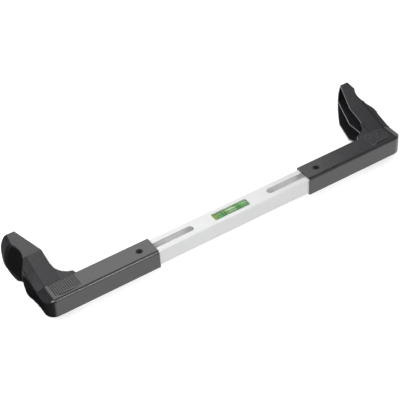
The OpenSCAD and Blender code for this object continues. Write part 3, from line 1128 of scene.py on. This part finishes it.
@dataclass
class Studio:
    """Pale floor with a raised rim, soft lamps and the camera."""

    # The camera's places count from the middle of the bar, and its roll is in degrees.
    camera_place: Point = (-0.44575, -0.73433, 0.79050)
    camera_target: Point = (-0.01284, 0.03911, 0.00046)
    camera_roll: float = -4.583
    lens: float = 102.68
    sensor: float = 36.0
    clip: tuple[float, float] = (0.05, 20.0)
    floor_radius: float = 4.0
    floor_sides: int = 96
    flat_rings: int = 5
    rim_height: float = 1.2
    rim_steps: int = 8
    floor_colour: Colour = (0.7, 0.7, 0.7)
    bounce_colour: Colour = (0.45, 0.45, 0.45)
    floor_glow: float = 0.62
    mirrored_glow: float = 0.7
    # Painted shade: reflections show the floor darker where the level stands near it.
    contact_reach: float = 0.09
    contact_span: tuple[float, float] = (0.1, 0.6)
    contact_samples: int = 8
    # They also show painted shade, a black card that lies nowhere, left of an edge along X and thinned to a
    # cover share behind a line along Y.
    card_edge: float = -0.211
    card_softness: float = 0.004
    card_back: float = 0.03
    card_cover: float = 0.84
    world_strength: float = 0.13
    lamps: tuple[Lamp, ...] = (
        Lamp("front_lamp", (0.17, -1.15, 0.64), (-0.17, 0.0, 0.0), (0.35, 0.04), 1.2),
        Lamp("slot_lamp", (0.25, -1.0, 0.9), (0.0, 0.0, 0.0), (0.3, 0.12), 3.4),
        Lamp("left_panel", (0.12, 0.4, 1.5), (-0.2, 0.0, 0.0), (0.5, 0.4), 0.62),
        Lamp("right_panel", (1.0, 0.45, 1.45), (0.2, 0.0, 0.0), (0.5, 0.4), 0.32),
        Lamp("top_lamp", (-0.9, -0.75, 1.5), (0.0, 0.0, 0.0), (1.3, 1.3), 30.5),
        Lamp("back_lamp", (0.4, 1.0, 1.25), (0.0, 0.0, 0.0), (0.86, 0.8), 4.35),
    )

    def build_camera(self) -> bpy.types.Object:
        """Makes the camera and hands it to the scene.

        Returns:
            The camera.
        """
        data = bpy.data.cameras.new("photo_camera")
        data.lens = self.lens
        data.sensor_width = self.sensor
        data.sensor_fit = "HORIZONTAL"
        data.clip_start, data.clip_end = self.clip
        camera = bpy.data.objects.new("photo_camera", data)
        low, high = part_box("bar_tube")
        place = (low + high) / 2 + Vector(self.camera_place)
        target = (low + high) / 2 + Vector(self.camera_target)
        aim = (target - place).to_track_quat("-Z", "Y")
        turn = aim.to_matrix().to_4x4() @ Matrix.Rotation(math.radians(self.camera_roll), 4, "Z")
        camera.matrix_world = Matrix.Translation(place) @ turn
        bpy.context.scene.collection.objects.link(camera)
        bpy.context.scene.camera = camera
        return camera

    def build_floor(self) -> bpy.types.Object:
        """Makes the pale floor with its raised rim.

        Returns:
            The floor.
        """
        flat = range(1, self.flat_rings + 1)
        profile = [(self.floor_radius * step / self.flat_rings, 0.0) for step in flat]
        for step in range(1, self.rim_steps + 1):
            rise = math.pi / 2 * step / self.rim_steps
            profile.append((
                self.floor_radius + self.rim_height * math.sin(rise),
                self.rim_height * (1 - math.cos(rise)),
            ))
        mesh = bmesh.new()
        around = turns(self.floor_sides)
        rows = add_rows(mesh, [
            [Vector((radius * math.cos(turn), radius * math.sin(turn), height)) for turn in around]
            for radius, height in profile
        ])
        mesh.faces.new(rows[0])
        span(mesh, rows)
        floor = new_piece("floor", mesh)
        floor.data.materials.append(self.floor_material())
        return floor

    def floor_material(self) -> bpy.types.Material:
        """Makes the floor's finish: matt, white to the camera, with painted shade in some reflections.

        Returns:
            The material.
        """
        material, graph = new_material("pale_floor")
        ray = graph.node("ShaderNodeLightPath")
        seen, mirrored, through = (
            Wire(graph, ray.outputs[name])
            for name in ("Is Camera Ray", "Is Glossy Ray", "Is Transmission Ray")
        )
        near = graph.wire(
            "ShaderNodeAmbientOcclusion",
            {"samples": self.contact_samples},
            {"Distance": self.contact_reach},
            "AO",
        )
        # Painted shade in reflections: a black card that lies nowhere, and contact shade from ambient
        # occlusion.
        along, back, _ = graph.split(graph.place())
        painted_shade_card = 1.0 - along.ramp(self.card_edge - self.card_softness, self.card_edge)
        painted_shade_card = painted_shade_card * (back < self.card_back).ramp(0.0, 1.0, self.card_cover, 1.0)
        open_share = near.ramp(*self.contact_span) * (1.0 - painted_shade_card)
        painted_reflection_shade = (1.0 - open_share) * mirrored
        colour = graph.mix(seen, rgba(self.bounce_colour), rgba(self.floor_colour))
        colour = graph.mix(painted_reflection_shade, colour, BLACK)
        matt = graph.wire("ShaderNodeBsdfDiffuse", {}, {"Color": colour})
        strength = (seen + through) * self.floor_glow + mirrored * self.mirrored_glow * (1.0 - painted_reflection_shade)
        glow = graph.wire("ShaderNodeEmission", {}, {"Color": WHITE, "Strength": strength})
        both = graph.wire("ShaderNodeAddShader", {}, {0: matt, 1: glow})
        graph.node("ShaderNodeOutputMaterial", {}, {"Surface": both})
        return material

    def build_world(self) -> None:
        """Gives the world a soft grey."""
        world = bpy.data.worlds.new("soft_room")
        bpy.context.scene.world = world
        world.use_nodes = True
        graph = Graph(world.node_tree)
        soft = graph.wire("ShaderNodeBackground", {}, {"Color": WHITE, "Strength": self.world_strength})
        graph.node("ShaderNodeOutputWorld", {}, {"Surface": soft})

    def build(self) -> None:
        """Makes the whole studio."""
        self.build_camera()
        self.build_floor()
        self.build_world()
        for lamp in self.lamps:
            lamp.build()
            log.info("lamp %s at %.1f W", lamp.name, lamp.watts)
        bpy.context.scene.view_settings.view_transform = "Standard"


def main() -> None:
    """Builds the studio and the level's pieces."""
    logging.basicConfig(level=logging.INFO, format="%(name)s: %(message)s")
    Studio().build()
    wardrobe = Wardrobe()
    wardrobe.dress_nodes()
    Vial().build(wardrobe)
    for side in Side:
        Spring(side).build(wardrobe)
        StopScrew(side).build(wardrobe)


if __name__ == "__main__":
    main()
